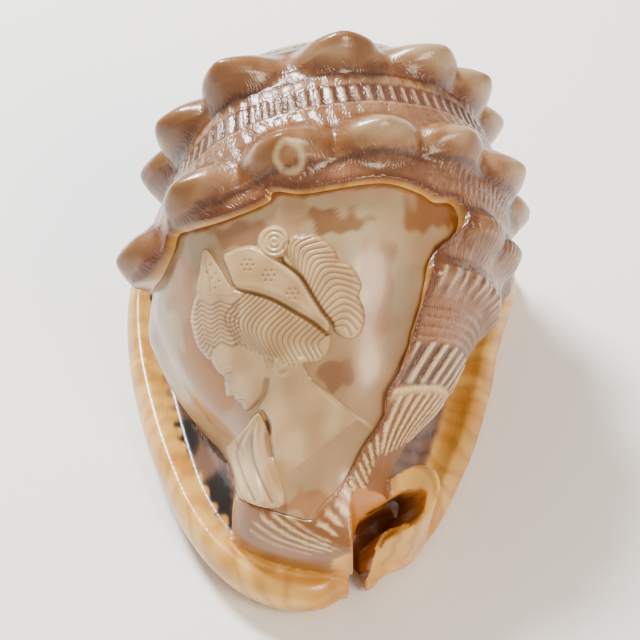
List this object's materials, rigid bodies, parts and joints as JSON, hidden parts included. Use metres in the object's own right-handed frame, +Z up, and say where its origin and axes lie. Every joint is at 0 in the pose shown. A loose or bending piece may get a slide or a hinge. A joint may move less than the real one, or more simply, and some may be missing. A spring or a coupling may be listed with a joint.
{
  "type": "carved cameo shell",
  "caption": "Whole helmet shell with knobbed whorls, a flat mouth side to rest on and a bust carved in low relief on its smoothed back.",
  "frame": {"origin": "on the plane the shell rests on, under the middle of its box", "axes": "+Z up from the flat mouth side to the carved back, +Y towards the spire, -Y towards the canal, -X towards the outer lip"},
  "size_m": [0.1092, 0.1483, 0.1019],
  "materials": {
    "polished_shell": "polished natural shell, warm tan outside and cream where it is carved"
  },
  "bodies": {
    "root": {"shell": "polished_shell"}
  },
  "joints": []
}
